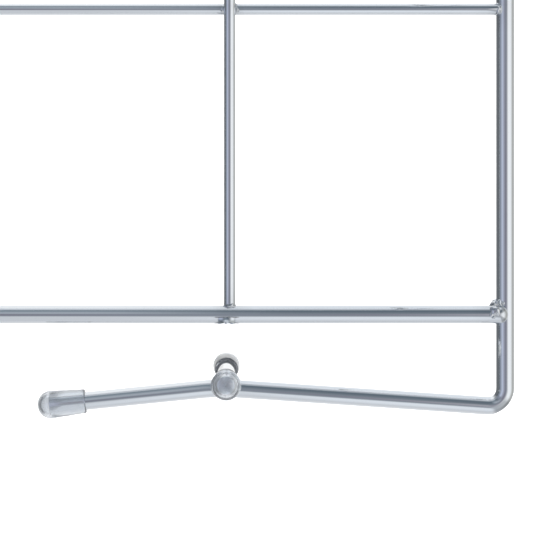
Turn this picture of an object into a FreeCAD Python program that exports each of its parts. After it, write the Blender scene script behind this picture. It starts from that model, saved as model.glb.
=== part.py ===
import FreeCAD, Part
import math
import os

# Hanging file rack that hooks over the top of an office partition panel.
# A welded grid of bent wire, a hoop that carries hanging folders by their hooks,
# two pegs near the foot and a push-on vinyl cap on every free wire end.
# Millimetres. X to the right, -Y towards the user, +Z up. The origin is the middle of
# the panel's front top edge, which the two hooks rest on.

# ---- Wire stock ----
FRAME_WIRE = 6.35           # diameter of the side wires, rails, hoop, braces and pegs
GRID_WIRE = 4.0             # diameter of the thin wires that fill the grid
WELD_SINK = 0.15            # how far two crossed wires melt into each other
BUTT_BITE = 1.2             # how far a wire's end reaches into the wire it is butted to
BEND_RADIUS = 6.2           # centreline radius of the tight bends

# ---- Grid ----
RAIL_SPACING = 387.0        # between the uprights' centrelines: legal-size folder rails
CELLS_WIDE = 4
CELL_HEIGHT = 106.6
CELLS_HIGH = 3
RAIL_END_PAST = 0.0         # how far a rail's rounded end goes past the upright's centre

# ---- Hooks over the panel ----
PANEL_GAP = 60.0            # from the panel's front face to the hook's inner face
HOOK_ABOVE_RAIL = 29.0      # hook's centreline above the top rail's
HOOK_DROP = 55.0            # from the panel's top edge to the hook wire's end

# ---- Foot arms ----
CROWN_DROP = 26.2           # crown's centreline below the bottom rail's
CROWN_IN = 99.5             # crown's distance in from the upright
CROWN_RADIUS = 60.0
OUTER_FALL = 3.87           # degrees, from the crown out to the corner
INNER_FALL = 5.75           # degrees, from the crown in to the tip
ARM_TIP_IN = 159.9          # wire end's distance in from the upright

# ---- Pegs ----
PEG_IN = 97.9               # peg's distance in from the upright, on the crown's bend
PEG_REACH = 47.5            # peg wire's end in front of the foot arm's centre
REAR_CAP_CLEAR = 1.2        # foot arm's back to the mouth of the rear cap

# ---- File hoop and its braces ----
HOOP_REACH = 200.0          # hoop's front centreline ahead of the uprights' centres
HOOP_CORNER = 12.0
BRACE_TAB = 20.0            # straight lap at each end of a brace
BRACE_SETBACK = 12.0        # brace's front end behind the hoop's front centreline
BRACE_BEND = 10.0
BRACE_FOOT_DROP = 107.0     # brace's lower bend below the top rail

# ---- Vinyl caps ----
CAP_WALL = 1.0              # at the open end
CAP_FLARE = 0.75            # how much thicker the wall is where the dome starts
CAP_BODY = 12.7             # from the mouth to the dome, and the bore's depth
CAP_DOME = 4.3
CAP_HOLLOW = 2.9            # height of the air space under the dome, past the wire's end
CAP_FIT = 0.0               # the vinyl grips the wire with no gap

# ---- Places worked out from the sizes above ----
FRAME_R = FRAME_WIRE / 2
X_SIDE = RAIL_SPACING / 2


def lap(first, second):
    """Centre distance of two crossed wires, given their diameters."""
    return (first + second) / 2 - WELD_SINK


# A rail's rounded end stops short of the wire it is welded to, so it sits a little closer.
FRAME_LAP = lap(FRAME_WIRE, FRAME_WIRE)
RAIL_END_LAP = math.sqrt(FRAME_LAP ** 2 - (FRAME_R - RAIL_END_PAST) ** 2)

# The rear caps' tips are bumpers that touch the panel.
Y_UPRIGHT = -(CAP_DOME + CAP_BODY + REAR_CAP_CLEAR + FRAME_R)
Y_RAIL = Y_UPRIGHT - RAIL_END_LAP
Y_BRACE_FOOT = Y_UPRIGHT - FRAME_LAP
Y_CROSS = Y_RAIL + lap(GRID_WIRE, GRID_WIRE)
Y_HOOK = PANEL_GAP + FRAME_R
Y_HOOP_FRONT = Y_UPRIGHT - HOOP_REACH

Z_HOOK = FRAME_R
Z_TOP_RAIL = Z_HOOK - HOOK_ABOVE_RAIL
Z_BOTTOM_RAIL = Z_TOP_RAIL - CELLS_HIGH * CELL_HEIGHT
Z_HOOP = Z_TOP_RAIL + RAIL_END_LAP
Z_CROWN = Z_BOTTOM_RAIL - CROWN_DROP
Z_PEG = Z_CROWN + FRAME_LAP
X_PEG = X_SIDE - PEG_IN

os.makedirs("parts", exist_ok=True)


def V(x, y, z):
    return FreeCAD.Vector(x, y, z)


def save(name, shape):
    """Writes one closed solid to its own file."""
    if not shape.isValid() or len(shape.Solids) != 1:
        raise ValueError(name + " isn't one valid solid")
    shape.exportStep("parts/" + name + ".step")


def bent_path(points, radii):
    """Straight runs through the points, with a tangent arc of its radius at each inner one."""
    edges = []
    start = points[0]
    for before, corner, after, radius in zip(points, points[1:], points[2:], radii):
        back = (before - corner).normalize()
        ahead = (after - corner).normalize()
        half = back.getAngle(ahead) / 2
        tangent = radius / math.tan(half)
        bisector = (back + ahead).normalize()
        into = corner + back * tangent
        out = corner + ahead * tangent
        middle = corner + bisector * (radius / math.sin(half) - radius)
        edges.append(Part.LineSegment(start, into).toShape())
        edges.append(Part.Arc(into, middle, out).toShape())
        start = out
    edges.append(Part.LineSegment(start, points[-1]).toShape())
    return Part.Wire(edges)


def bent_wire(points, radii, diameter):
    """A round wire along a bent path, with plain cut ends."""
    path = bent_path(points, radii)
    circle = Part.Circle(points[0], points[1] - points[0], diameter / 2)
    solid = path.makePipeShell([Part.Wire([circle.toShape()])], True, True)
    section = math.pi * diameter ** 2 / 4
    print("length", round(path.Length, 1), "volume share", round(solid.Volume / section / path.Length, 4))
    return solid


def straight_wire(start, end, diameter):
    """A straight wire with plain cut ends."""
    run = end - start
    return Part.makeCylinder(diameter / 2, run.Length, start, run)


def rounded_rail(level):
    """A rail across both uprights, lapped in front of them, with rounded ends."""
    end = X_SIDE + RAIL_END_PAST
    shoulder = end - FRAME_R
    centre_line = Part.LineSegment(V(end, 0, 0), V(-end, 0, 0)).toShape()
    side_line = Part.LineSegment(V(-shoulder, 0, FRAME_R), V(shoulder, 0, FRAME_R)).toShape()
    ends = []
    for side, first, last in ((-1, V(-end, 0, 0), V(-shoulder, 0, FRAME_R)),
                              (1, V(shoulder, 0, FRAME_R), V(end, 0, 0))):
        diagonal = FRAME_R * math.sqrt(0.5)
        middle = V(side * (shoulder + diagonal), 0, diagonal)
        ends.append(Part.Arc(first, middle, last).toShape())
    outline = Part.Wire([centre_line, ends[0], side_line, ends[1]])
    rail = Part.Face(outline).revolve(V(0, 0, 0), V(1, 0, 0), 360)
    rail.translate(V(0, Y_RAIL, level))
    return rail


def dome_arc(rim, height):
    """A round arc from a rim at height 0 up to the axis."""
    radius = (rim ** 2 + height ** 2) / (2 * height)
    half_way = math.asin(min(1.0, rim / radius)) / 2
    middle = V(radius * math.sin(half_way), 0, height - radius * (1 - math.cos(half_way)))
    return Part.Arc(V(rim, 0, 0), middle, V(0, 0, height)).toShape()


def cap(wire_end, outward):
    """A push-on cap seated on a wire's end, its dome pointing along outward."""
    bore = FRAME_R + CAP_FIT
    mouth = bore + CAP_WALL
    shoulder = mouth + CAP_FLARE
    corners = [V(bore, 0, 0), V(bore, 0, -CAP_BODY), V(mouth, 0, -CAP_BODY), V(shoulder, 0, 0)]
    edges = [Part.LineSegment(a, b).toShape() for a, b in zip(corners, corners[1:])]
    edges.append(dome_arc(shoulder, CAP_DOME))
    edges.append(Part.LineSegment(V(0, 0, CAP_DOME), V(0, 0, CAP_HOLLOW)).toShape())
    edges.append(dome_arc(bore, CAP_HOLLOW))
    solid = Part.Face(Part.Wire(edges)).revolve(V(0, 0, 0), V(0, 0, 1), 360)
    turn = FreeCAD.Rotation(V(0, 0, 1), outward)
    solid.Placement = FreeCAD.Placement(wire_end, turn)
    return solid


def side_wire_points(side):
    """Corners of a side wire: foot arm's tip, crown, lower corner, both hook corners, hook's end."""
    outer = math.radians(OUTER_FALL)
    inner = math.radians(INNER_FALL)
    tangent = CROWN_RADIUS * math.tan((outer + inner) / 2)
    crown_in = CROWN_IN - CROWN_RADIUS * math.sin(outer) + tangent * math.cos(outer)
    crown_z = Z_CROWN - CROWN_RADIUS * (1 - math.cos(outer)) + tangent * math.sin(outer)
    tip_z = crown_z - (ARM_TIP_IN - crown_in) * math.tan(inner)
    corner_z = crown_z - crown_in * math.tan(outer)
    return [
        V(side * (X_SIDE - ARM_TIP_IN), Y_UPRIGHT, tip_z),
        V(side * (X_SIDE - crown_in), Y_UPRIGHT, crown_z),
        V(side * X_SIDE, Y_UPRIGHT, corner_z),
        V(side * X_SIDE, Y_UPRIGHT, Z_HOOK),
        V(side * X_SIDE, Y_HOOK, Z_HOOK),
        V(side * X_SIDE, Y_HOOK, -HOOK_DROP),
    ]


def brace_points(side):
    """Corners of a brace: lapped under the hoop's side, down and back, lapped on the upright."""
    x = side * X_SIDE
    top = Z_HOOP - FRAME_LAP
    front = Y_HOOP_FRONT + BRACE_SETBACK
    foot = Z_TOP_RAIL - BRACE_FOOT_DROP
    return [
        V(x, front, top),
        V(x, front + BRACE_TAB, top),
        V(x, Y_BRACE_FOOT, foot),
        V(x, Y_BRACE_FOOT, foot - BRACE_TAB),
    ]


# ---- Rails and grid ----
save("bottom_rail", rounded_rail(Z_BOTTOM_RAIL))
save("top_rail", rounded_rail(Z_TOP_RAIL))

# The thin uprights stand between the rails in their plane, and the cross wires pass behind.
cross_end = X_SIDE - FRAME_R + BUTT_BITE
for row, name in enumerate(("lower_cross_wire", "upper_cross_wire"), start=1):
    z = Z_BOTTOM_RAIL + row * CELL_HEIGHT
    save(name, straight_wire(V(-cross_end, Y_CROSS, z), V(cross_end, Y_CROSS, z), GRID_WIRE))

for column, name in enumerate(("left_grid_wire", "middle_grid_wire", "right_grid_wire"), start=1):
    x = -X_SIDE + column * RAIL_SPACING / CELLS_WIDE
    low = V(x, Y_RAIL, Z_BOTTOM_RAIL + FRAME_R - BUTT_BITE)
    high = V(x, Y_RAIL, Z_TOP_RAIL - FRAME_R + BUTT_BITE)
    save(name, straight_wire(low, high, GRID_WIRE))

# ---- File hoop ----
hoop_back = Y_UPRIGHT - FRAME_R + BUTT_BITE
hoop_points = [
    V(-X_SIDE, hoop_back, Z_HOOP),
    V(-X_SIDE, Y_HOOP_FRONT, Z_HOOP),
    V(X_SIDE, Y_HOOP_FRONT, Z_HOOP),
    V(X_SIDE, hoop_back, Z_HOOP),
]
save("file_hoop", bent_wire(hoop_points, [HOOP_CORNER] * 2, FRAME_WIRE))

# ---- What is made once for each side ----
for word, side in (("left", -1), ("right", 1)):
    points = side_wire_points(side)
    radii = [CROWN_RADIUS, BEND_RADIUS, BEND_RADIUS, BEND_RADIUS]
    save(word + "_side_wire", bent_wire(points, radii, FRAME_WIRE))
    save(word + "_brace", bent_wire(brace_points(side), [BRACE_BEND] * 2, FRAME_WIRE))

    peg_front = V(side * X_PEG, Y_UPRIGHT - PEG_REACH, Z_PEG)
    peg_rear = V(side * X_PEG, -CAP_DOME, Z_PEG)
    save(word + "_peg", straight_wire(peg_front, peg_rear, FRAME_WIRE))

    save(word + "_foot_cap", cap(points[0], points[0] - points[1]))
    save(word + "_hook_cap", cap(points[-1], points[-1] - points[-2]))
    save(word + "_peg_front_cap", cap(peg_front, V(0, -1, 0)))
    save(word + "_peg_rear_cap", cap(peg_rear, V(0, 1, 0)))
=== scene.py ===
"""Over-panel hanging file rack: a welded grid of chrome-plated wire with clear vinyl caps."""

import logging
import math
import random
from dataclasses import dataclass, field
from enum import Enum

import bmesh
import bpy
import numpy as np
from mathutils import Matrix, Vector, noise


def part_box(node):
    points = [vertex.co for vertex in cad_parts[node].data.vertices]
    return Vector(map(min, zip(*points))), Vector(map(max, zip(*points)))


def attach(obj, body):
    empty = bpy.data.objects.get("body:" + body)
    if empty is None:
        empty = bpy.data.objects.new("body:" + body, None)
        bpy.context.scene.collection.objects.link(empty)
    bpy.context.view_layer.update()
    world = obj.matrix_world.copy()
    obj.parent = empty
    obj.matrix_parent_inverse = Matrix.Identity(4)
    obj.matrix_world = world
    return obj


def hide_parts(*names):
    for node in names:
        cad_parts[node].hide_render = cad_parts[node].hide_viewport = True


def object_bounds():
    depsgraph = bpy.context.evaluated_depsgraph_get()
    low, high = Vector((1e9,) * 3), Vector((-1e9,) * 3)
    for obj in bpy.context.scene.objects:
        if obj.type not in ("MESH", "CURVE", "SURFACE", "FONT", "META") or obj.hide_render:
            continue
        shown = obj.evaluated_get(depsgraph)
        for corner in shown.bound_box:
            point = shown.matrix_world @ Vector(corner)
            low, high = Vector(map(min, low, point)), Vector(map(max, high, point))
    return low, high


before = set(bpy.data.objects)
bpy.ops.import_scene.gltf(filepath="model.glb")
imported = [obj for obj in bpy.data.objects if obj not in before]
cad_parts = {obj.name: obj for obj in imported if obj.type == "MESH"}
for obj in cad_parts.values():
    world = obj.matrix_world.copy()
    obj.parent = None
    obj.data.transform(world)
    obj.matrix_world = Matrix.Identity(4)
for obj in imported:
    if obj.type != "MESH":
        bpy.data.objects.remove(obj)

LOG = logging.getLogger("file_rack")
CAD_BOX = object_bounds()
ROOT = "root"
MM = 0.001
MERGE_DISTANCE = 0.001 * MM


class Slot(Enum):
    """Material slots of the record."""

    CHROME = "chrome_wire"
    VINYL = "clear_vinyl"


class Side(Enum):
    """The rack's two mirrored sides, with the sign of their X."""

    LEFT = -1
    RIGHT = 1

    @property
    def word(self) -> str:
        """The side's name as used in node names."""
        return self.name.lower()


# ---------------------------------------------------------------- shared mesh work


def centre_of(node: str) -> Vector:
    """The middle of a CAD node's box.

    Args:
        node: name of the CAD node.

    Returns:
        The point in metres.
    """
    low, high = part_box(node)
    return (low + high) / 2


def thickness_of(node: str) -> float:
    """The diameter of a straight wire, which is the smallest side of its box.

    Args:
        node: name of the CAD node.

    Returns:
        The diameter in metres.
    """
    low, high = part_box(node)
    return min(high - low)


def turned_to(direction: Vector) -> Matrix:
    """A rotation that takes +Z to a direction.

    Args:
        direction: the wanted direction of the local +Z axis.

    Returns:
        A 4 by 4 rotation matrix.
    """
    return direction.to_track_quat("Z", "Y").to_matrix().to_4x4()


def add_piece(
    name: str,
    shape: bmesh.types.BMesh,
    material: bpy.types.Material,
    nodes: tuple[str, ...] = (),
    crease: float = math.radians(38),
) -> bpy.types.Object:
    """Turns a finished bmesh into a piece of the rack.

    Args:
        name: the piece's name.
        shape: its mesh, which is freed here.
        material: its finish.
        nodes: CAD nodes that the piece stands for.
        crease: edges sharper than this stay sharp under smooth shading.

    Returns:
        The new object, at the origin, riding on the rack's only body.
    """
    mesh = bpy.data.meshes.new(name)
    shape.to_mesh(mesh)
    shape.free()
    mesh.shade_smooth()
    mesh.set_sharp_from_angle(angle=crease)
    mesh.materials.append(material)
    piece = bpy.data.objects.new(name, mesh)
    bpy.context.scene.collection.objects.link(piece)
    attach(piece, ROOT)
    if nodes:
        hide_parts(*nodes)
    LOG.info("%s: %d faces", name, len(mesh.polygons))
    return piece


@dataclass(frozen=True)
class Leg:
    """One leg of a wire's route: a straight run, or a bend if it has an angle."""

    start: Vector
    end: Vector
    centre: Vector | None = None
    axis: Vector | None = None
    angle: float = 0.0

    @property
    def radius(self) -> float:
        """Centreline radius of a bend."""
        return (self.start - self.centre).length


def route_through(points: list[Vector], radii: list[float]) -> list[Leg]:
    """Straight runs through the points, joined by tangent bends.

    Args:
        points: the corners of the route, with its two ends.
        radii: the centreline radius at each inner corner.

    Returns:
        The legs in order.
    """
    legs = []
    start = points[0]
    for before, corner, after, radius in zip(points, points[1:], points[2:], radii):
        arriving = (corner - before).normalized()
        leaving = (after - corner).normalized()
        turn = arriving.angle(leaving)
        tangent = radius * math.tan(turn / 2)
        into = corner - arriving * tangent
        out = corner + leaving * tangent
        axis = arriving.cross(leaving).normalized()
        centre = into + axis.cross(arriving) * radius
        legs.append(Leg(start, into))
        legs.append(Leg(into, out, centre, axis, turn))
        start = out
    legs.append(Leg(start, points[-1]))
    return legs


@dataclass(frozen=True)
class WireStock:
    """Drawn round wire and how finely its surface is divided."""

    diameter: float
    sides: int = 40
    ring_pitch: float = 5 * MM
    bend_step: float = math.radians(5)
    end_round: float = 0.35 * MM
    end_round_steps: int = 3
    ripple: float = 0.012 * MM
    ripple_length: float = 16 * MM
    bend_flattening: float = 0.05
    tight_bend: float = 3.0
    shear_rings: int = 6
    shear_middle: float = 1.5
    shear_tear: float = 0.3 * MM
    tear_length: float = 0.9 * MM

    @property
    def radius(self) -> float:
        """Half the diameter."""
        return self.diameter / 2

    def sweep(self, legs: list[Leg]) -> bmesh.types.BMesh:
        """Carries a round section along a route and closes both ends.

        Args:
            legs: the wire's route.

        Returns:
            The wire as a closed mesh.
        """
        shape = bmesh.new()
        first_run = legs[0].end - legs[0].start
        place = Matrix.Translation(legs[0].start) @ turned_to(first_run)
        ring = bmesh.ops.create_circle(shape, segments=self.sides, radius=self.radius, matrix=place)
        edges = list({edge for vert in ring["verts"] for edge in vert.link_edges})
        for leg in legs:
            edges = self._bend(shape, edges, leg) if leg.angle else self._run(shape, edges, leg)
        bmesh.ops.holes_fill(shape, edges=[edge for edge in shape.edges if edge.is_boundary])
        caps = [face for face in shape.faces if len(face.verts) > 4]
        rims = list({edge for face in caps for edge in face.edges})
        bmesh.ops.bevel(
            shape,
            geom=rims,
            offset=self.end_round,
            affect="EDGES",
            segments=self.end_round_steps,
            profile=0.5,
            material=-1,
        )
        bmesh.ops.recalc_face_normals(shape, faces=shape.faces)
        self._flatten_bends(shape, legs)
        self.add_ripple(shape)
        self._tear_ends(shape)
        return shape

    def _run(self, shape: bmesh.types.BMesh, edges: list, leg: Leg) -> list:
        """Extrudes the section along a straight run, ring by ring.

        Args:
            shape: the wire so far.
            edges: the open ring that it grows from.
            leg: the run.

        Returns:
            The open ring at the run's end.
        """
        travel = leg.end - leg.start
        steps = max(1, round(travel.length / self.ring_pitch))
        for _ in range(steps):
            grown = bmesh.ops.extrude_edge_only(shape, edges=edges)["geom"]
            verts = [item for item in grown if isinstance(item, bmesh.types.BMVert)]
            edges = [item for item in grown if isinstance(item, bmesh.types.BMEdge)]
            bmesh.ops.translate(shape, verts=verts, vec=travel / steps)
        return edges

    def _bend(self, shape: bmesh.types.BMesh, edges: list, leg: Leg) -> list:
        """Spins the section round a bend.

        Args:
            shape: the wire so far.
            edges: the open ring that it grows from.
            leg: the bend.

        Returns:
            The open ring at the bend's end.
        """
        steps = max(2, round(leg.angle / self.bend_step))
        verts = list({vert for edge in edges for vert in edge.verts})
        spun = bmesh.ops.spin(
            shape, geom=verts + edges, cent=leg.centre, axis=leg.axis, angle=leg.angle, steps=steps
        )
        return [item for item in spun["geom_last"] if isinstance(item, bmesh.types.BMEdge)]

    def _tear_ends(self, shape: bmesh.types.BMesh) -> None:
        """Gives each end face the shallow torn surface that the shear leaves, and marks it as dull.

        Args:
            shape: the closed wire.
        """
        sheared = shape.verts.layers.float.new("sheared")
        for face in [face for face in shape.faces if len(face.verts) > 4]:
            inward = -face.normal
            ring_width = self.radius / (self.shear_rings + self.shear_middle)
            rings = []
            for _ in range(self.shear_rings):
                bmesh.ops.inset_region(shape, faces=[face], thickness=ring_width)
                rings += list(face.verts)
            rings += bmesh.ops.poke(shape, faces=[face])["verts"]
            for vert in rings:
                vert[sheared] = 1.0
                depth = 0.5 + noise.noise(vert.co / self.tear_length)
                vert.co += inward * depth * self.shear_tear

    def _flatten_bends(self, shape: bmesh.types.BMesh, legs: list[Leg]) -> None:
        """Makes the section a little oval in the middle of each tight bend, as a bending die does.

        Args:
            shape: the closed wire.
            legs: the wire's route.
        """
        limit = self.tight_bend * self.diameter
        tight = [leg for leg in legs if leg.angle and leg.radius < limit]
        for leg in tight:
            outward = (leg.start - leg.centre).normalized()
            forward = leg.axis.cross(outward)
            for vert in shape.verts:
                arm = vert.co - leg.centre
                arm -= leg.axis * arm.dot(leg.axis)
                reach = arm.length
                share = math.atan2(arm.dot(forward), arm.dot(outward)) / leg.angle
                if 0 < share < 1 and abs(reach - leg.radius) < self.diameter:
                    squeeze = self.bend_flattening * math.sin(math.pi * share) ** 2
                    vert.co += arm / reach * (leg.radius - reach) * squeeze

    def add_ripple(self, shape: bmesh.types.BMesh) -> None:
        """Moves the surface in by up to a few microns, so that reflections waver as on drawn wire.

        Args:
            shape: the closed wire.
        """
        shape.normal_update()
        for vert in shape.verts:
            depth = 0.5 + 0.5 * noise.noise(vert.co / self.ripple_length)
            vert.co -= vert.normal * depth * self.ripple


FRAME_WIRE = WireStock(diameter=thickness_of("bottom_rail"))
GRID_WIRE = WireStock(diameter=thickness_of("middle_grid_wire"), sides=32, end_round=0.2 * MM)


def rod_between(stock: WireStock, node: str, along: int) -> bmesh.types.BMesh:
    """A straight wire that fills a CAD node's box along one axis.

    Args:
        stock: the wire it is cut from.
        node: the CAD node it stands for.
        along: index of the axis that it lies along.

    Returns:
        Its mesh, with sheared ends.
    """
    low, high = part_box(node)
    start = centre_of(node)
    end = start.copy()
    start[along], end[along] = low[along], high[along]
    return stock.sweep([Leg(start, end)])


# ---------------------------------------------------------------- shader groups and finishes


def srgb(red: int, green: int, blue: int) -> tuple[float, float, float, float]:
    """A display colour as linear light.

    Args:
        red: 0 to 255.
        green: 0 to 255.
        blue: 0 to 255.

    Returns:
        Linear red, green, blue and an alpha of 1.
    """
    shares = [value / 255 for value in (red, green, blue)]
    linear = [share / 12.92 if share <= 0.04045 else ((share + 0.055) / 1.055) ** 2.4 for share in shares]
    return (*linear, 1.0)


class Wiring:
    """Adds and links nodes in one tree."""

    def __init__(self, tree: bpy.types.NodeTree) -> None:
        """Keeps the tree that it adds to."""
        self.tree = tree

    def node(self, kind: str, settings: dict | None = None, **inputs: object) -> bpy.types.Node:
        """Adds a node.

        Args:
            kind: the node's type name.
            settings: its properties.
            **inputs: socket values or sockets to link, by name with underscores for spaces.

        Returns:
            The new node.
        """
        made = self.tree.nodes.new(kind)
        for name, value in (settings or {}).items():
            setattr(made, name, value)
        for name, value in inputs.items():
            self.feed(made.inputs[name.replace("_", " ")], value)
        return made

    def feed(self, socket: bpy.types.NodeSocket, value: object) -> None:
        """Links a socket to another, or sets its value.

        Args:
            socket: the input to fill.
            value: the socket to link from, or a plain value.
        """
        if isinstance(value, bpy.types.NodeSocket):
            self.tree.links.new(value, socket)
        else:
            socket.default_value = value

    def maths(self, operation: str, *values: object) -> bpy.types.NodeSocket:
        """A Math node.

        Args:
            operation: what it does.
            *values: its inputs, in order.

        Returns:
            Its output.
        """
        made = self.node("ShaderNodeMath", {"operation": operation})
        for socket, value in zip(made.inputs, values):
            self.feed(socket, value)
        return made.outputs[0]

    def between(self, value: object, low: float, high: float) -> bpy.types.NodeSocket:
        """A smooth step.

        Args:
            value: what it reads.
            low: where the step is 0.
            high: where the step is 1, which may be the lesser number.

        Returns:
            The step's output.
        """
        made = self.node("ShaderNodeMapRange", {"interpolation_type": "SMOOTHSTEP"}, Value=value)
        made.inputs["From Min"].default_value = low
        made.inputs["From Max"].default_value = high
        return made.outputs["Result"]

    def mix(self, share: object, first: object, second: object) -> bpy.types.NodeSocket:
        """A mix of two colours.

        Args:
            share: how much of the second colour, from 0 to 1.
            first: the first colour.
            second: the second colour.

        Returns:
            The mixed colour.
        """
        made = self.node("ShaderNodeMix", {"data_type": "RGBA"})
        self.feed(made.inputs[0], share)
        self.feed(made.inputs[6], first)
        self.feed(made.inputs[7], second)
        return made.outputs[2]

    def ramp(self, share: object, stops: list[tuple[float, tuple]]) -> bpy.types.NodeSocket:
        """A colour ramp.

        Args:
            share: where to read it, from 0 to 1.
            stops: positions and linear colours, in order.

        Returns:
            The colour.
        """
        made = self.node("ShaderNodeValToRGB", Fac=share)
        elements = made.color_ramp.elements
        while len(elements) < len(stops):
            elements.new(0.5)
        for element, (position, colour) in zip(elements, stops):
            element.position = position
            element.color = colour
        return made.outputs["Color"]


def new_group(
    name: str, inputs: dict[str, float], outputs: dict[str, str]
) -> tuple[bpy.types.NodeTree, Wiring]:
    """An empty shader group with its sockets.

    Args:
        name: the group's name.
        inputs: float inputs and their defaults.
        outputs: outputs and their socket types.

    Returns:
        The group and a Wiring for it.
    """
    group = bpy.data.node_groups.new(name, "ShaderNodeTree")
    for label, value in inputs.items():
        made = group.interface.new_socket(label, in_out="INPUT", socket_type="NodeSocketFloat")
        made.default_value = value
    for label, kind in outputs.items():
        group.interface.new_socket(label, in_out="OUTPUT", socket_type=kind)
    return group, Wiring(group)


def handled_surface() -> bpy.types.NodeTree:
    """Smudges and fine surface unevenness that both finishes share.

    Returns:
        A group with Grain Size and Smudge Size (features per metre) in, and a Mask and a Height out.
    """
    smudge_from, smudge_to = 0.48, 0.72
    group, wiring = new_group(
        "handled_surface",
        {"Grain Size": 900.0, "Smudge Size": 45.0},
        {"Mask": "NodeSocketFloat", "Height": "NodeSocketFloat"},
    )
    given = group.nodes.new("NodeGroupInput")
    result = group.nodes.new("NodeGroupOutput")
    place = wiring.node("ShaderNodeTexCoord").outputs["Object"]
    smudge_size, grain_size = given.outputs["Smudge Size"], given.outputs["Grain Size"]
    patches = wiring.node("ShaderNodeTexNoise", Vector=place, Scale=smudge_size, Detail=4.0)
    grain = wiring.node("ShaderNodeTexNoise", Vector=place, Scale=grain_size, Detail=2.0)
    wiring.feed(result.inputs["Mask"], wiring.between(patches.outputs[0], smudge_from, smudge_to))
    wiring.feed(result.inputs["Height"], grain.outputs[0])
    return group


def new_material(name: str) -> tuple[bpy.types.Material, Wiring, bpy.types.Node]:
    """A material with only its Principled shader and output.

    Args:
        name: the material's name.

    Returns:
        The material, a Wiring for its tree, and the shader.
    """
    material = bpy.data.materials.new(name)
    material.use_nodes = True
    wiring = Wiring(material.node_tree)
    return material, wiring, material.node_tree.nodes["Principled BSDF"]


@dataclass(frozen=True)
class ChromePlate:
    """Bright chrome plate, duller in the heat-marked zone beside a weld, and greyer there, partly from heat
    marking and partly from painted shade that darkens the welds.
    """

    clean: tuple = (0.93, 0.945, 0.96, 1.0)
    # Grey that the plate is mixed towards near welds: partly heat marking, partly painted shade standing in
    # for the dark crevices of the joints.
    heat_mark_and_shade: tuple = (0.46, 0.46, 0.47, 1.0)
    heat_mark_and_shade_share: float = 0.55
    polish: float = 0.045
    smudged: float = 0.05
    dulled: float = 0.07
    sheared_dullness: float = 0.14
    grain_size: float = 700.0
    peel: float = 0.02 * MM
    peel_strength: float = 0.25

    def build(self, surface: bpy.types.NodeTree) -> bpy.types.Material:
        """Makes the material.

        Args:
            surface: the group of smudges and grain.

        Returns:
            The finish.
        """
        material, wiring, shader = new_material("chrome_plate")
        handled = wiring.node("ShaderNodeGroup", {"node_tree": surface}, Grain_Size=self.grain_size)
        near_weld = wiring.node("ShaderNodeAttribute", {"attribute_name": "near_weld"}).outputs["Fac"]
        # Painted shade: the welds and the plating beside them are greyed to stand in for the shade in the
        # joints' crevices, on top of heat marking.
        heat_and_shade = wiring.maths("MULTIPLY", near_weld, self.heat_mark_and_shade_share)
        tint_and_shade = wiring.mix(heat_and_shade, self.clean, self.heat_mark_and_shade)
        smudge = wiring.maths("MULTIPLY_ADD", handled.outputs["Mask"], self.smudged, self.polish)
        sheared = wiring.node("ShaderNodeAttribute", {"attribute_name": "sheared"}).outputs["Fac"]
        heated = wiring.maths("MULTIPLY_ADD", near_weld, self.dulled, smudge)
        rough = wiring.maths("MULTIPLY_ADD", sheared, self.sheared_dullness, heated)
        height = handled.outputs["Height"]
        bump = wiring.node("ShaderNodeBump", Strength=self.peel_strength, Distance=self.peel, Height=height)
        shader.inputs["Metallic"].default_value = 1.0
        wiring.feed(shader.inputs["Base Color"], tint_and_shade)
        wiring.feed(shader.inputs["Roughness"], rough)
        wiring.feed(shader.inputs["Normal"], bump.outputs["Normal"])
        return material


@dataclass(frozen=True)
class ClearVinyl:
    """Soft clear PVC, faintly blue and a little hazy where it has been handled."""

    colour: tuple = (0.9, 0.925, 0.955, 1.0)
    gloss: float = 0.02
    haze: float = 0.04
    clearness: float = 0.9
    refraction: float = 1.5
    grain_size: float = 320.0
    smudge_size: float = 160.0
    flow: float = 0.05 * MM
    flow_strength: float = 0.3

    def build(self, surface: bpy.types.NodeTree) -> bpy.types.Material:
        """Makes the material.

        Args:
            surface: the group of smudges and grain.

        Returns:
            The finish.
        """
        material, wiring, shader = new_material("clear_vinyl")
        handled = wiring.node("ShaderNodeGroup", {"node_tree": surface}, Grain_Size=self.grain_size)
        wiring.feed(handled.inputs["Smudge Size"], self.smudge_size)
        rough = wiring.maths("MULTIPLY_ADD", handled.outputs["Mask"], self.haze, self.gloss)
        height = handled.outputs["Height"]
        bump = wiring.node("ShaderNodeBump", Strength=self.flow_strength, Distance=self.flow, Height=height)
        shader.inputs["Base Color"].default_value = self.colour
        shader.inputs["Transmission Weight"].default_value = self.clearness
        shader.inputs["IOR"].default_value = self.refraction
        wiring.feed(shader.inputs["Roughness"], rough)
        wiring.feed(shader.inputs["Normal"], bump.outputs["Normal"])
        return material


@dataclass
class Finishes:
    """The rack's two materials."""

    chrome: bpy.types.Material
    vinyl: bpy.types.Material

    @classmethod
    def make(cls) -> "Finishes":
        """Builds both finishes on one shared surface group."""
        surface = handled_surface()
        return cls(ChromePlate().build(surface), ClearVinyl().build(surface))


# ---------------------------------------------------------------- the rack's sub-assemblies


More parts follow.
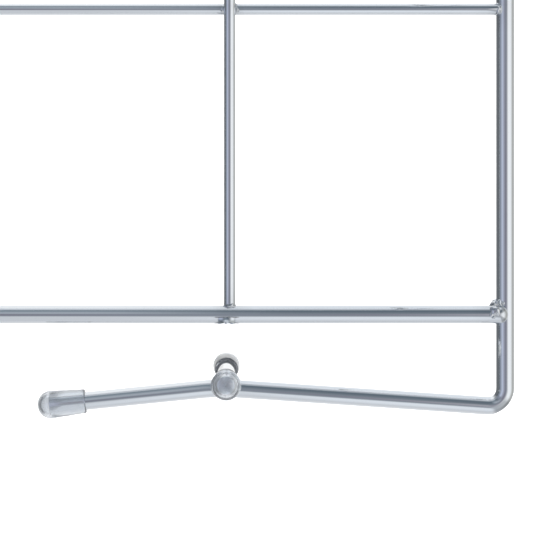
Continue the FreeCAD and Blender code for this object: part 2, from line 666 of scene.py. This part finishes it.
@dataclass
class Grid:
    """Two thick rails with rounded ends, thin cross wires and thin uprights."""

    finishes: Finishes
    dome_steps: int = 10
    rails: tuple[str, ...] = ("bottom_rail", "top_rail")
    cross_wires: tuple[str, ...] = ("lower_cross_wire", "upper_cross_wire")
    uprights: tuple[str, ...] = ("left_grid_wire", "middle_grid_wire", "right_grid_wire")

    def build(self) -> list[bpy.types.Object]:
        """Builds and dresses every wire of the grid.

        Returns:
            The pieces.
        """
        made = [self._add(node, self._rail(node)) for node in self.rails]
        made += [self._add(node, rod_between(GRID_WIRE, node, 0)) for node in self.cross_wires]
        made += [self._add(node, rod_between(GRID_WIRE, node, 2)) for node in self.uprights]
        return made

    def _add(self, node: str, shape: bmesh.types.BMesh) -> bpy.types.Object:
        """Adds one chrome wire in place of its CAD node."""
        return add_piece(node + "_drawn", shape, self.finishes.chrome, (node,))

    def _rail(self, node: str) -> bmesh.types.BMesh:
        """A rail turned about its own axis, with a half ball at each end.

        Args:
            node: the CAD node it stands for.

        Returns:
            Its mesh.
        """
        low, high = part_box(node)
        middle = centre_of(node)
        radius = FRAME_WIRE.radius
        shape = bmesh.new()
        pole = shape.verts.new((low.x, middle.y, middle.z))
        arc_centre = Vector((low.x + radius, middle.y, middle.z))
        quarter = bmesh.ops.spin(
            shape, geom=[pole], cent=arc_centre, axis=(0, 1, 0), angle=math.pi / 2, steps=self.dome_steps
        )
        tip = next(item for item in quarter["geom_last"] if isinstance(item, bmesh.types.BMVert))
        span = high.x - low.x - 2 * radius
        steps = round(span / FRAME_WIRE.ring_pitch)
        for _ in range(steps):
            grown = bmesh.ops.extrude_vert_indiv(shape, verts=[tip])
            tip = grown["verts"][0]
            bmesh.ops.translate(shape, verts=[tip], vec=(span / steps, 0, 0))
        arc_centre = Vector((high.x - radius, middle.y, middle.z))
        bmesh.ops.spin(
            shape, geom=[tip], cent=arc_centre, axis=(0, 1, 0), angle=math.pi / 2, steps=self.dome_steps
        )
        outline = list(shape.verts) + list(shape.edges)
        bmesh.ops.spin(
            shape,
            geom=outline,
            cent=middle,
            axis=(1, 0, 0),
            angle=math.tau,
            steps=FRAME_WIRE.sides,
            use_merge=True,
        )
        bmesh.ops.remove_doubles(shape, verts=shape.verts, dist=MERGE_DISTANCE)
        bmesh.ops.recalc_face_normals(shape, faces=shape.faces)
        FRAME_WIRE.add_ripple(shape)
        return shape


@dataclass
class SideFrame:
    """One bent side wire, from the capped foot arm up to the hook over the panel."""

    finishes: Finishes
    side: Side
    bend_radius: float = 6.2 * MM
    crown_in: float = 99.5 * MM
    crown_radius: float = 60.0 * MM
    outer_fall: float = math.radians(3.87)
    inner_fall: float = math.radians(5.75)
    weld_sink: float = 0.15 * MM

    def corners(self) -> list[Vector]:
        """The route's corners: arm tip, crown, lower corner, both hook corners and hook end.

        Returns:
            Six points in metres.
        """
        sign = self.side.value
        radius = FRAME_WIRE.radius
        low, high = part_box(f"{self.side.word}_side_wire")
        peg = centre_of(f"{self.side.word}_peg")
        hook_cap_low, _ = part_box(f"{self.side.word}_hook_cap")
        side_x = high.x - radius if sign > 0 else low.x + radius
        front_y, hook_y, hook_z = low.y + radius, high.y - radius, high.z - radius
        lap = FRAME_WIRE.diameter - self.weld_sink
        tangent = self.crown_radius * math.tan((self.outer_fall + self.inner_fall) / 2)
        to_vertex = self.crown_radius * math.sin(self.outer_fall) - tangent * math.cos(self.outer_fall)
        crown_x = side_x - sign * (self.crown_in - to_vertex)
        crown_z = (
            peg.z
            - lap
            - self.crown_radius * (1 - math.cos(self.outer_fall))
            + tangent * math.sin(self.outer_fall)
        )
        inner_edge = low.x if sign > 0 else high.x
        tip_x = inner_edge + sign * radius * math.sin(self.inner_fall)
        tip_z = crown_z - abs(crown_x - tip_x) * math.tan(self.inner_fall)
        corner_z = crown_z - abs(side_x - crown_x) * math.tan(self.outer_fall)
        return [
            Vector((tip_x, front_y, tip_z)),
            Vector((crown_x, front_y, crown_z)),
            Vector((side_x, front_y, corner_z)),
            Vector((side_x, front_y, hook_z)),
            Vector((side_x, hook_y, hook_z)),
            Vector((side_x, hook_y, hook_cap_low.z + EndCap.dome)),
        ]

    def build(self) -> bpy.types.Object:
        """Builds and dresses the side wire.

        Returns:
            The piece.
        """
        radii = [self.crown_radius, self.bend_radius, self.bend_radius, self.bend_radius]
        shape = FRAME_WIRE.sweep(route_through(self.corners(), radii))
        node = f"{self.side.word}_side_wire"
        return add_piece(node + "_bent", shape, self.finishes.chrome, (node,))


@dataclass
class FileHoop:
    """The U-shaped hoop that carries the folders, and the two braces under it."""

    finishes: Finishes
    hoop_corner: float = 12.0 * MM
    brace_bend: float = 10.0 * MM
    brace_tab: float = 20.0 * MM

    def build(self) -> list[bpy.types.Object]:
        """Builds and dresses the hoop and its braces.

        Returns:
            The pieces.
        """
        made = [self._add("file_hoop", self._hoop_corners(), self.hoop_corner)]
        for side in Side:
            node = f"{side.word}_brace"
            made.append(self._add(node, self._brace_corners(node), self.brace_bend))
        return made

    def _add(self, node: str, corners: list[Vector], bend: float) -> bpy.types.Object:
        """Adds one bent wire in place of its CAD node."""
        shape = FRAME_WIRE.sweep(route_through(corners, [bend, bend]))
        return add_piece(node + "_bent", shape, self.finishes.chrome, (node,))

    def _hoop_corners(self) -> list[Vector]:
        """The hoop's two rear ends and two front corners, from left to right.

        Returns:
            Four points in metres.
        """
        low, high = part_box("file_hoop")
        radius = FRAME_WIRE.radius
        left, right = low.x + radius, high.x - radius
        front, level = low.y + radius, centre_of("file_hoop").z
        return [Vector(point) for point in (
            (left, high.y, level),
            (left, front, level),
            (right, front, level),
            (right, high.y, level),
        )]

    def _brace_corners(self, node: str) -> list[Vector]:
        """A brace's front end, its two bends and its lower end.

        Args:
            node: the CAD node it stands for.

        Returns:
            Four points in metres.
        """
        low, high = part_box(node)
        radius = FRAME_WIRE.radius
        x = centre_of(node).x
        top, rear = high.z - radius, high.y - radius
        return [Vector(point) for point in (
            (x, low.y, top),
            (x, low.y + self.brace_tab, top),
            (x, rear, low.z + self.brace_tab),
            (x, rear, low.z),
        )]


@dataclass
class EndCap:
    """A dip-moulded vinyl cap pushed onto a wire's end until it seats."""

    finishes: Finishes
    wall: float = 1.0 * MM
    flare: float = 0.75 * MM
    body: float = 12.7 * MM
    dome: float = 4.3 * MM
    hollow: float = 2.9 * MM
    grip: float = 0.03 * MM
    rim_round: float = 0.3 * MM
    rim_round_steps: int = 4
    crease: float = math.radians(50)
    sides: int = 56
    dome_steps: int = 14
    body_cuts: int = 12
    unevenness: float = 0.05 * MM
    unevenness_length: float = 2.6 * MM
    bubbles: int = 4
    bubble_zone: float = 0.8
    seat_bubbles: int = 14
    seat_zone: float = 0.9 * MM
    bubble_top: float = 0.3 * MM
    bubble_depths: tuple[float, float] = (0.35, 0.65)
    bubble_sizes: tuple[float, float] = (0.08, 0.17)

    def build(self, node: str, wire_end: Vector, outward: Vector, seed: int) -> bpy.types.Object:
        """Builds and dresses one cap.

        Args:
            node: the CAD node it stands for.
            wire_end: centre of the wire's end face.
            outward: direction along the wire, out of its end.
            seed: places this cap's bubbles.

        Returns:
            The piece.
        """
        shape = self._turned_body(seed)
        self._add_bubbles(shape, seed)
        seat = Matrix.Translation(wire_end) @ turned_to(outward)
        bmesh.ops.transform(shape, matrix=seat, verts=shape.verts)
        return add_piece(node + "_moulded", shape, self.finishes.vinyl, (node,), self.crease)

    def _turned_body(self, seed: int) -> bmesh.types.BMesh:
        """The cap about +Z with its wire's end face at the origin, as a closed shell with a bore.

        Args:
            seed: shifts the unevenness, so that no two caps are alike.

        Returns:
            Its mesh.
        """
        bore = FRAME_WIRE.radius - self.grip
        mouth = FRAME_WIRE.radius + self.wall
        shoulder = mouth + self.flare
        shape = bmesh.new()
        outline = [(bore, 0), (bore, -self.body), (mouth, -self.body), (shoulder, 0)]
        verts = [shape.verts.new((radius, 0, height)) for radius, height in outline]
        for first, second in zip(verts, verts[1:]):
            shape.edges.new((first, second))
        bmesh.ops.bevel(
            shape,
            geom=verts[1:3],
            offset=self.rim_round,
            affect="VERTICES",
            segments=self.rim_round_steps,
            profile=0.5,
            material=-1,
        )
        long_edges = [edge for edge in shape.edges if edge.calc_length() > self.body / 2]
        bmesh.ops.subdivide_edges(shape, edges=long_edges, cuts=self.body_cuts)
        rims = sorted(shape.verts, key=lambda vert: vert.co.z)[-2:]
        inner_rim, outer_rim = sorted(rims, key=lambda vert: vert.co.x)
        self._close_over(shape, inner_rim, self.hollow)
        self._close_over(shape, outer_rim, self.dome)
        bmesh.ops.spin(
            shape,
            geom=list(shape.verts) + list(shape.edges),
            cent=(0, 0, 0),
            axis=(0, 0, 1),
            angle=math.tau,
            steps=self.sides,
            use_merge=True,
        )
        bmesh.ops.remove_doubles(shape, verts=shape.verts, dist=MERGE_DISTANCE)
        bmesh.ops.recalc_face_normals(shape, faces=shape.faces)
        for vert in shape.verts:
            reach = math.hypot(vert.co.x, vert.co.y)
            if reach > bore + self.rim_round or vert.co.z > self.rim_round:
                place = vert.co / self.unevenness_length + Vector((seed, 0, 0))
                depth = 0.5 + 0.5 * noise.noise(place)
                vert.co *= 1 - depth * self.unevenness / shoulder
        return shape

    def _close_over(self, shape: bmesh.types.BMesh, rim: bmesh.types.BMVert, height: float) -> None:
        """Carries the outline from a rim at height 0 up a round arc to the axis.

        Args:
            shape: the cap's outline so far.
            rim: the point that the arc starts from.
            height: how high the arc rises.
        """
        radius = (rim.co.x**2 + height**2) / (2 * height)
        bmesh.ops.spin(
            shape,
            geom=[rim],
            cent=(0, 0, height - radius),
            axis=(0, -1, 0),
            angle=math.asin(min(1.0, rim.co.x / radius)),
            steps=self.dome_steps,
        )

    def _add_bubbles(self, shape: bmesh.types.BMesh, seed: int) -> None:
        """Leaves a few tiny air bubbles in the vinyl's wall, most of them near the wire's end.

        Args:
            shape: the cap about +Z.
            seed: places the bubbles.
        """
        draw = random.Random(seed)
        for index in range(self.bubbles + self.seat_bubbles):
            lowest = -self.bubble_zone * self.body if index < self.bubbles else -self.seat_zone
            height = draw.uniform(lowest, -self.bubble_top)
            reach = FRAME_WIRE.radius + draw.uniform(*self.bubble_depths) * self.wall
            turn = draw.uniform(0, math.tau)
            place = Matrix.Translation((reach * math.cos(turn), reach * math.sin(turn), height))
            size = draw.uniform(*self.bubble_sizes) * MM
            ball = bmesh.ops.create_icosphere(shape, subdivisions=2, radius=size, matrix=place)
            skin = list({face for vert in ball["verts"] for face in vert.link_faces})
            bmesh.ops.reverse_faces(shape, faces=skin)


@dataclass
class Pegs:
    """The two straight pegs welded across the crowns of the foot arms."""

    finishes: Finishes

    def build(self) -> list[bpy.types.Object]:
        """Builds and dresses both pegs.

        Returns:
            The pieces.
        """
        made = []
        for side in Side:
            node = f"{side.word}_peg"
            shape = rod_between(FRAME_WIRE, node, 1)
            made.append(add_piece(node + "_drawn", shape, self.finishes.chrome, (node,)))
        return made


@dataclass(frozen=True)
class Blob:
    """One lump of weld metal: its centre, and its half sizes along X, Y and Z, in metres."""

    centre: Vector
    half: tuple[float, float, float]

    @classmethod
    def at(cls, centre: Vector, *half: float) -> "Blob":
        """A lump whose half sizes are given in millimetres."""
        return cls(centre, tuple(size * MM for size in half))


@dataclass
class Welds:
    """The beads and flash of plated weld metal where wires meet."""

    finishes: Finishes
    voxel: float = 0.16 * MM
    lumpiness: float = 0.26
    lump_length: float = 1.1 * MM
    easing: int = 4
    bite: float = 0.2 * MM
    reach: float = 6.5 * MM
    fading: float = 1.5
    spots: list[Vector] = field(default_factory=list)

    def rail_ends(self) -> list[Blob]:
        """A lumpy tack in each inner corner between a rail's end and an upright, on the grid's side.

        Returns:
            The lumps.
        """
        hottest = (4.9, -1.0, 1.8)
        lumps = (
            ((4.9, -2.1, 1.5), (1.9, 1.7, 1.9)),
            ((6.4, -2.7, 0.1), (0.9, 0.9, 0.9)),
            ((5.4, -3.0, -0.7), (0.7, 0.6, 0.6)),
            ((3.9, -3.0, 0.7), (0.8, 0.7, 1.0)),
            ((4.7, 1.4, 3.0), (1.5, 2.0, 1.6)),
            ((4.1, 3.0, 4.0), (1.1, 1.6, 1.4)),
            ((1.2, 2.6, 3.8), (0.7, 0.8, 0.8)),
        )
        blobs = []
        for rail, upward in (("bottom_rail", 1), ("top_rail", -1)):
            rail_mid = centre_of(rail)
            for side in Side:
                corner = Vector((self._upright_at(side, 0.0).x, rail_mid.y, rail_mid.z))
                for (inward, back, rise), half in lumps:
                    offset = Vector((-side.value * inward, back, upward * rise)) * MM
                    blobs.append(Blob.at(corner + offset, *half))
                inward, back, rise = hottest
                self.spots.append(corner + Vector((-side.value * inward, back, upward * rise)) * MM)
        return blobs

    def crossings(self) -> list[Blob]:
        """Flash squeezed out where the thin uprights cross the thin cross wires.

        Returns:
            The lumps.
        """
        blobs = []
        for upright in Grid.uprights:
            for cross in Grid.cross_wires:
                front, back = centre_of(upright), centre_of(cross)
                contact = Vector((front.x, (front.y + back.y) / 2, back.z))
                blobs.append(Blob.at(contact, 2.9, 1.0, 1.3))
                blobs.append(Blob.at(contact, 1.6, 1.0, 2.5))
                for across, rise, size in ((-2.3, -0.2, 1.3), (2.2, 1.3, 0.7), (2.6, -0.5, 0.9)):
                    bead = contact + Vector((across, -0.5, rise)) * MM
                    blobs.append(Blob.at(bead, 0.75 * size, 0.9, size))
                self.spots.append(contact)
        return blobs

    def upright_feet(self) -> list[Blob]:
        """Small flared feet where the thin uprights stand on the rails.

        Returns:
            The lumps.
        """
        blobs = []
        for upright in Grid.uprights:
            for rail, sign in (("bottom_rail", 1), ("top_rail", -1)):
                foot = centre_of(rail)
                foot.x = centre_of(upright).x
                foot.z += sign * (FRAME_WIRE.radius - self.bite)
                blobs.append(Blob.at(foot, 2.4, 2.2, 0.8))
                blobs.append(Blob.at(foot + Vector((0, 0, sign * 0.5 * MM)), 2.1, 2.1, 1.3))
                for across, front, size in ((-3.4, 0.8, 0.8), (-1.2, 1.7, 0.5), (0.9, 1.0, 0.9)):
                    spatter = foot + Vector((across, -front, -sign * 5.9)) * MM
                    blobs.append(Blob.at(spatter, size, 0.6 * size, 0.6 * size))
                self.spots.append(foot)
        return blobs

    def cross_wire_ends(self) -> list[Blob]:
        """Tacks where the thin cross wires butt against the uprights of the side wires.

        Returns:
            The lumps.
        """
        blobs = []
        for cross in Grid.cross_wires:
            middle = centre_of(cross)
            for side in Side:
                edge = self._upright_at(side, middle.z)
                edge.x -= side.value * (FRAME_WIRE.radius - self.bite)
                edge.y = middle.y
                inner = edge - Vector((side.value * 1.0 * MM, 0, 0))
                blobs += [Blob.at(edge, 1.3, 2.1, 2.3), Blob.at(inner, 1.3, 1.9, 1.95)]
                self.spots.append(edge)
        return blobs

    def hoop_joints(self) -> list[Blob]:
        """Beads where the hoop meets the uprights and rests on the top rail.

        Returns:
            The lumps.
        """
        blobs = []
        hoop_low, hoop_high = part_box("file_hoop")
        level = (hoop_low.z + hoop_high.z) / 2
        rail = centre_of("top_rail")
        for side in Side:
            joint = self._upright_at(side, level)
            joint.y -= FRAME_WIRE.radius
            rest = Vector((joint.x - side.value * 1.6 * MM, rail.y, (rail.z + level) / 2))
            blobs += [Blob.at(joint, 3.4, 1.2, 3.5), Blob.at(rest, 2.6, 2.6, 1.0)]
            self.spots += [joint, rest]
        return blobs

    def brace_joints(self) -> list[Blob]:
        """Two spots at each end of each brace, in the groove beside the wire it lies along.

        Returns:
            The lumps.
        """
        blobs = []
        shares_of_tab = (0.25, 0.75)
        hoop_level = centre_of("file_hoop").z
        for side in Side:
            low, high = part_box(f"{side.word}_brace")
            x = (low.x + high.x) / 2
            upright = self._upright_at(side, 0.0)
            for share in shares_of_tab:
                tab = FileHoop.brace_tab * share
                top_level = (high.z - FRAME_WIRE.radius + hoop_level) / 2
                top = Vector((x, low.y + tab, top_level))
                foot = Vector((x, (high.y - FRAME_WIRE.radius + upright.y) / 2, low.z + tab))
                blobs += [Blob.at(top, 2.1, 2.6, 1.0), Blob.at(foot, 2.1, 1.0, 2.6)]
                self.spots += [top, foot]
        return blobs

    def peg_seats(self) -> list[Blob]:
        """Flash between each peg and the crown of the foot arm under it.

        Returns:
            The lumps.
        """
        blobs = []
        for side in Side:
            peg = centre_of(f"{side.word}_peg")
            seat = Vector((peg.x, self._upright_at(side, 0.0).y, peg.z - FRAME_WIRE.radius))
            blobs.append(Blob.at(seat, 3.0, 2.6, 0.9))
            self.spots.append(seat)
        return blobs

    def build(self) -> list[bpy.types.Object]:
        """Builds and dresses the welds, one piece for each kind of joint.

        Returns:
            The pieces.
        """
        kinds = {
            "rail_end_welds": self.rail_ends,
            "grid_crossing_welds": self.crossings,
            "upright_foot_welds": self.upright_feet,
            "cross_wire_end_welds": self.cross_wire_ends,
            "hoop_welds": self.hoop_joints,
            "brace_welds": self.brace_joints,
            "peg_seat_welds": self.peg_seats,
        }
        return [
            add_piece(name, self._fuse(blobs()), self.finishes.chrome, crease=math.pi)
            for name, blobs in kinds.items()
        ]

    def _upright_at(self, side: Side, level: float) -> Vector:
        """A point on the centreline of a side wire's upright.

        Args:
            side: which side wire.
            level: its height in metres.

        Returns:
            The point.
        """
        low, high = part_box(f"{side.word}_side_wire")
        x = high.x - FRAME_WIRE.radius if side is Side.RIGHT else low.x + FRAME_WIRE.radius
        return Vector((x, low.y + FRAME_WIRE.radius, level))

    def _fuse(self, blobs: list[Blob]) -> bmesh.types.BMesh:
        """Runs lumps of metal together into smooth beads.

        Args:
            blobs: the lumps.

        Returns:
            Closed beads with no inner faces.
        """
        shape = bmesh.new()
        for blob in blobs:
            size = Matrix.Diagonal((*blob.half, 1.0))
            ball = bmesh.ops.create_icosphere(shape, subdivisions=3, radius=1.0, matrix=size)
            for vert in ball["verts"]:
                lump = noise.noise((vert.co + blob.centre) / self.lump_length)
                vert.co *= 1 + self.lumpiness * lump
            bmesh.ops.translate(shape, verts=ball["verts"], vec=blob.centre)
        rough = bpy.data.meshes.new("weld_lumps")
        shape.to_mesh(rough)
        shape.free()
        carrier = bpy.data.objects.new("weld_lumps", rough)
        bpy.context.scene.collection.objects.link(carrier)
        fusing = carrier.modifiers.new("fuse", "REMESH")
        fusing.mode = "VOXEL"
        fusing.voxel_size = self.voxel
        carrier.modifiers.new("ease", "SMOOTH").iterations = self.easing
        ready = carrier.evaluated_get(bpy.context.evaluated_depsgraph_get())
        fused = bmesh.new()
        fused.from_mesh(ready.to_mesh())
        ready.to_mesh_clear()
        bpy.data.objects.remove(carrier)
        bpy.data.meshes.remove(rough)
        return fused

    def mark_near_weld(self, pieces: list[bpy.types.Object]) -> None:
        """Writes how near each point of a wire is to a weld, for the dulled plating there and for the painted
        shade that greys the welds and the wire beside them.

        Args:
            pieces: the chrome pieces.
        """
        spots = np.array([list(spot) for spot in self.spots])
        for piece in pieces:
            mesh = piece.data
            points = np.empty(len(mesh.vertices) * 3, np.float32)
            mesh.vertices.foreach_get("co", points)
            points = points.reshape(-1, 3)
            nearest = np.full(len(points), np.inf)
            for spot in spots:
                nearest = np.minimum(nearest, np.linalg.norm(points - spot, axis=1))
            # This share drives the duller plating and also the painted shade near the joints.
            share = np.clip(1 - nearest / self.reach, 0, 1) ** self.fading
            layer = mesh.attributes.new("near_weld", "FLOAT", "POINT")
            layer.data.foreach_set("value", share.astype(np.float32))


# ---------------------------------------------------------------- studio


class Card(Enum):
    """Display colours of the cards that stand round the rack."""

    WHITE = (254, 254, 254)
    BRIGHT = (240, 243, 246)
    PALE = (222, 228, 235)
    SILVER = (200, 204, 210)
    STONE = (172, 174, 172)
    LAVENDER = (186, 194, 214)
    STEEL = (164, 172, 182)
    GREY = (132, 139, 149)
    MAUVE = (126, 126, 138)
    DUSK = (122, 134, 144)
    IRON = (108, 112, 116)
    SLATE = (98, 110, 120)
    GRAPHITE = (78, 86, 93)


@dataclass(frozen=True)
class Studio:
    """White floor and sweep, a surround that the chrome mirrors, and the camera."""

    floor_drop: float = 0.35
    sweep_behind: float = 2.6
    sweep_radius: float = 0.9
    sweep_steps: int = 24
    half_width: float = 6.0
    sweep_height: float = 5.0
    sweep_front: float = 6.0
    paper: tuple = (0.9, 0.9, 0.9, 1.0)
    white: tuple = (1.0, 1.0, 1.0, 1.0)
    floor_glow: float = 0.55
    card_softness: float = 0.6
    softness_through_vinyl: float = 0.5
    corner_shade: float = 0.5
    corner_colour: tuple = (70, 78, 86)
    softbox_side: float = 3.0
    softbox_power: float = 60.0
    softbox_place: tuple = (0.3, -0.6, 2.2)
    sensor_mm: float = 36.0
    lens_mm: float = 98.2
    camera_in: float = 96.3 * MM
    camera_above_rail: float = 32.9 * MM
    camera_distance: float = 527.0 * MM
    shift_right: float = 0.08
    shift_down: float = -0.1

    def build(self) -> None:
        """Sets up everything around the rack."""
        self._surround()
        self._sweep()
        self._lamps()
        self._camera()
        view = bpy.context.scene.view_settings
        view.view_transform = "Standard"
        view.look = "None"

    def _surround(self) -> None:
        """A studio of dark and light cards as seen from the rack, plain white to the camera."""
        world = bpy.data.worlds.new("studio")
        bpy.context.scene.world = world
        world.use_nodes = True
        tree = world.node_tree
        tree.nodes.clear()
        wiring = Wiring(tree)
        place = wiring.node("ShaderNodeTexCoord").outputs["Generated"]
        x, y, z = wiring.node("ShaderNodeSeparateXYZ", Vector=place).outputs[:3]
        toward_user = wiring.maths("MULTIPLY", y, -1.0)

        def ring(first: object, *cards: tuple[int, Card]) -> bpy.types.NodeSocket:
            """Cards round a full circle that starts and ends behind the rack.

            Args:
                first: the part of the direction that the angle turns towards.
                *cards: each card's angle in degrees from the front, and the card, in order.

            Returns:
                The colour at each direction, shaded smoothly from card to card.
            """
            angle = wiring.maths("ARCTAN2", first, toward_user)
            share = wiring.maths("MULTIPLY_ADD", angle, 1 / math.tau, 0.5)
            return wiring.ramp(share, [((degrees + 180) / 360, srgb(*card.value)) for degrees, card in cards])

        around = ring(
            x,
            (-180, Card.WHITE), (-155, Card.IRON), (-110, Card.IRON), (-90, Card.GRAPHITE),
            (-45, Card.LAVENDER), (-10, Card.MAUVE), (5, Card.MAUVE), (30, Card.BRIGHT),
            (60, Card.BRIGHT), (95, Card.STONE), (120, Card.STONE), (165, Card.BRIGHT), (180, Card.WHITE),
        )
        over_right = ring(
            z,
            (-180, Card.WHITE), (-85, Card.SILVER), (-50, Card.PALE), (-30, Card.PALE), (-15, Card.GREY),
            (0, Card.GREY), (40, Card.SLATE), (55, Card.SLATE), (85, Card.PALE), (120, Card.PALE),
            (150, Card.BRIGHT), (180, Card.WHITE),
        )
        over_left = ring(
            z,
            (-180, Card.WHITE), (-85, Card.SILVER), (-25, Card.SILVER), (-10, Card.GREY), (0, Card.GREY),
            (25, Card.STEEL), (50, Card.DUSK), (60, Card.DUSK), (80, Card.PALE), (100, Card.BRIGHT),
            (140, Card.BRIGHT), (180, Card.WHITE),
        )
        to_right = wiring.between(x, -0.11, 0.06)
        over = wiring.mix(to_right, over_left, over_right)
        flat = wiring.maths("ABSOLUTE", x)
        squares = [wiring.maths("POWER", reach, 2.0) for reach in (x, z)]
        spread = wiring.maths("SQRT", wiring.maths("ADD", *squares))
        sideways = wiring.maths("DIVIDE", flat, wiring.maths("MAXIMUM", spread, 0.001))
        mirrored = wiring.mix(wiring.between(sideways, 0.45, 0.85), over, around)
        corner_from, corner_to = wiring.between(sideways, 0.3, 0.5), wiring.between(sideways, 0.92, 0.78)
        in_corner = wiring.maths("MULTIPLY", corner_from, corner_to)
        far_out = wiring.maths("MULTIPLY", in_corner, wiring.between(spread, 0.35, 0.6))
        shade = wiring.maths("MULTIPLY", far_out, self.corner_shade)
        mirrored = wiring.mix(shade, mirrored, srgb(*self.corner_colour))
        softened = wiring.mix(self.card_softness, mirrored, self.white)
        seen_through = wiring.mix(self.softness_through_vinyl, mirrored, self.white)
        path = wiring.node("ShaderNodeLightPath").outputs
        lit = wiring.mix(path["Is Glossy Ray"], softened, mirrored)
        unmirrored = wiring.maths("LESS_THAN", path["Glossy Depth"], 0.5)
        through_vinyl = wiring.maths("MULTIPLY", path["Is Transmission Ray"], unmirrored)
        lit = wiring.mix(through_vinyl, lit, seen_through)
        colour = wiring.mix(path["Is Camera Ray"], lit, self.white)
        light = wiring.node("ShaderNodeBackground", Color=colour)
        wiring.node("ShaderNodeOutputWorld", Surface=light.outputs[0])

    def _sweep(self) -> None:
        """A white floor that curves up behind the rack, well below and behind it."""
        floor = CAD_BOX[0][2] - self.floor_drop
        back = CAD_BOX[1][1] + self.sweep_behind
        shape = bmesh.new()
        edge = [shape.verts.new((x, -self.sweep_front, floor)) for x in (-self.half_width, self.half_width)]
        edges = [shape.edges.new(edge)]
        edges = self._grow(shape, edges, Vector((0, back + self.sweep_front - self.sweep_radius, 0)))
        verts = list(edges[0].verts)
        centre = (0, back - self.sweep_radius, floor + self.sweep_radius)
        spun = bmesh.ops.spin(
            shape,
            geom=verts + edges,
            cent=centre,
            axis=(1, 0, 0),
            angle=math.pi / 2,
            steps=self.sweep_steps,
        )
        edges = [item for item in spun["geom_last"] if isinstance(item, bmesh.types.BMEdge)]
        self._grow(shape, edges, Vector((0, 0, self.sweep_height)))
        bmesh.ops.recalc_face_normals(shape, faces=shape.faces)
        mesh = bpy.data.meshes.new("floor_sweep")
        shape.to_mesh(mesh)
        shape.free()
        mesh.shade_smooth()
        material, _, shader = new_material("studio_paper")
        shader.inputs["Base Color"].default_value = self.paper
        shader.inputs["Roughness"].default_value = 0.9
        shader.inputs["Emission Color"].default_value = self.white
        shader.inputs["Emission Strength"].default_value = self.floor_glow
        mesh.materials.append(material)
        floor_sweep = bpy.data.objects.new("floor_sweep", mesh)
        bpy.context.scene.collection.objects.link(floor_sweep)
        floor_sweep.visible_glossy = False
        floor_sweep.visible_transmission = False

    @staticmethod
    def _grow(shape: bmesh.types.BMesh, edges: list, travel: Vector) -> list:
        """Extrudes an edge by a vector.

        Args:
            shape: the sweep so far.
            edges: the edge, in a list.
            travel: how far and which way.

        Returns:
            The new edge, in a list.
        """
        grown = bmesh.ops.extrude_edge_only(shape, edges=edges)["geom"]
        verts = [item for item in grown if isinstance(item, bmesh.types.BMVert)]
        bmesh.ops.translate(shape, verts=verts, vec=travel)
        return [item for item in grown if isinstance(item, bmesh.types.BMEdge)]

    def _lamps(self) -> None:
        """One large overhead softbox that lights the paper and the vinyl."""
        lamp = bpy.data.lights.new("overhead_softbox", "AREA")
        lamp.shape = "RECTANGLE"
        lamp.size = lamp.size_y = self.softbox_side
        lamp.energy = self.softbox_power
        holder = bpy.data.objects.new("overhead_softbox", lamp)
        holder.location = self.softbox_place
        holder.visible_glossy = False
        holder.visible_transmission = False
        bpy.context.scene.collection.objects.link(holder)

    def _camera(self) -> None:
        """A level camera square to the grid, close to its lower right cell."""
        upright_low, upright_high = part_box("right_side_wire")
        upright_x = upright_high.x - FRAME_WIRE.radius
        upright_y = upright_low.y + FRAME_WIRE.radius
        lens = bpy.data.cameras.new("camera")
        lens.sensor_width = self.sensor_mm
        lens.lens = self.lens_mm
        lens.shift_x = self.shift_right
        lens.shift_y = self.shift_down
        lens.clip_start = 0.01
        camera = bpy.data.objects.new("camera", lens)
        rail_level = centre_of("bottom_rail").z
        camera.location = (
            upright_x - self.camera_in,
            upright_y - self.camera_distance,
            rail_level + self.camera_above_rail,
        )
        camera.rotation_euler = (math.pi / 2, 0, 0)
        bpy.context.scene.collection.objects.link(camera)
        bpy.context.scene.camera = camera


def build_caps(finishes: Finishes, side: Side, corners: list[Vector]) -> None:
    """Puts the four caps of one side on their wires' ends.

    Args:
        finishes: the rack's materials.
        side: which side.
        corners: the side wire's corners, whose ends are capped.
    """
    maker = EndCap(finishes)
    peg_low, peg_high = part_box(f"{side.word}_peg")
    peg = centre_of(f"{side.word}_peg")
    ends = {
        "foot_cap": (corners[0], corners[0] - corners[1]),
        "hook_cap": (corners[-1], corners[-1] - corners[-2]),
        "peg_front_cap": (Vector((peg.x, peg_low.y, peg.z)), Vector((0, -1, 0))),
        "peg_rear_cap": (Vector((peg.x, peg_high.y, peg.z)), Vector((0, 1, 0))),
    }
    for seed, (name, (wire_end, outward)) in enumerate(ends.items(), start=10 * side.value):
        maker.build(f"{side.word}_{name}", wire_end, outward.normalized(), seed)


def main() -> None:
    logging.basicConfig(level=logging.INFO, format="%(message)s")
    finishes = Finishes.make()
    chrome_pieces = Grid(finishes).build()
    for side in Side:
        side_frame = SideFrame(finishes, side)
        chrome_pieces.append(side_frame.build())
        build_caps(finishes, side, side_frame.corners())
    chrome_pieces += FileHoop(finishes).build()
    chrome_pieces += Pegs(finishes).build()
    welds = Welds(finishes)
    chrome_pieces += welds.build()
    welds.mark_near_weld(chrome_pieces)
    Studio().build()
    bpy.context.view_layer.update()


if __name__ == "__main__":
    main()
